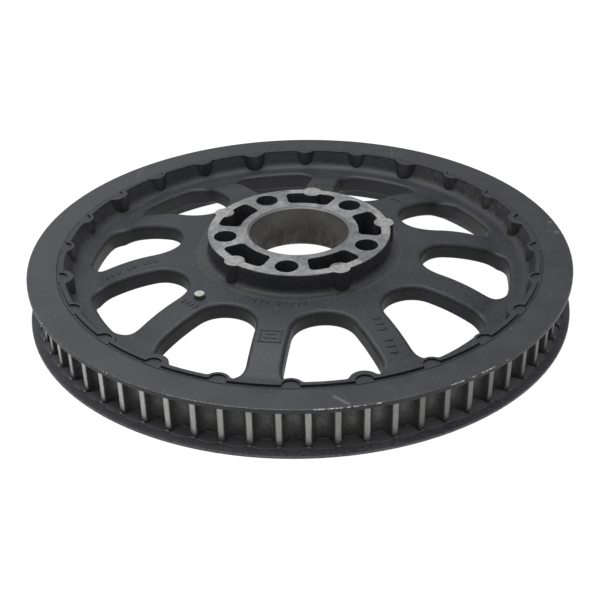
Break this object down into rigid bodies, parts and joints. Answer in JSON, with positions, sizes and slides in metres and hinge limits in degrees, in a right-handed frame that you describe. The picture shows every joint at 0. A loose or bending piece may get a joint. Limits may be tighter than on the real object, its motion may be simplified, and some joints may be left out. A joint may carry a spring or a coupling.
{
  "type": "timing belt pulley",
  "caption": "Large flanged timing belt pulley for a rear wheel drive: toothed rim between two flanges, domed spoked web, raised drilled hub with a plain bore",
  "frame": {"origin": "on the wheel axis, in the plane of the inboard flange face that the pulley rests on when laid flat", "axes": "+Z is the wheel axis and points outboard, out of the hub face; X and Y lie in the plane of the wheel, with the first spoke 8.1 degrees from +X"},
  "size_m": [0.3034, 0.3034, 0.0395],
  "materials": {
    "cast_finish": "black powder coat over die-cast aluminium",
    "ring_finish": "satin black coat over pressed steel",
    "tooth_finish": "black coat worn to bare aluminium on the lands",
    "hub_metal": "face and bore machined, sides black coated",
    "pin_steel": "plain steel"
  },
  "bodies": {
    "root": {"hub": "hub_metal", "spoke_01": "cast_finish", "spoke_02": "cast_finish", "spoke_03": "cast_finish", "spoke_04": "cast_finish", "spoke_05": "cast_finish", "spoke_06": "cast_finish", "spoke_07": "cast_finish", "spoke_08": "cast_finish", "spoke_09": "cast_finish", "spoke_10": "cast_finish", "rim": "cast_finish", "tooth_ring": "tooth_finish", "lower_flange": "cast_finish", "upper_flange_ring": "ring_finish", "locating_pin": "pin_steel"}
  },
  "joints": []
}
